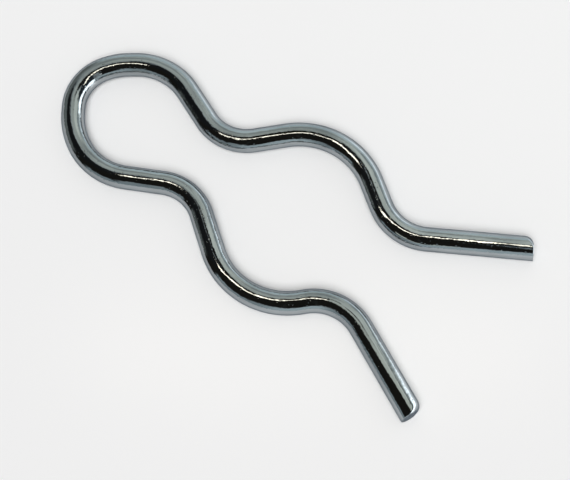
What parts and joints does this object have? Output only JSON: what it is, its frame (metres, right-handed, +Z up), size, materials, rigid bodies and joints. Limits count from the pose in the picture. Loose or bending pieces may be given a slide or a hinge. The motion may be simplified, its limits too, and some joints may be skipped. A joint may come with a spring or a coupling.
{
  "type": "hitch pin clip",
  "caption": "Hitch clip bent from round spring wire: an open eye, a narrow neck, two humped legs and flared, sheared tips.",
  "frame": {"origin": "under the centre of the clip's outline, on the surface that it lies on", "axes": "+X along the clip from the eye to the tips, +Y across it towards the leg whose tip stands further out, +Z up off the surface"},
  "size_m": [0.0778, 0.0348, 0.0038],
  "materials": {
    "zinc_plated_wire": "bright zinc plate on drawn spring wire, almost a mirror"
  },
  "bodies": {
    "root": {"clip_wire": "zinc_plated_wire"}
  },
  "joints": []
}
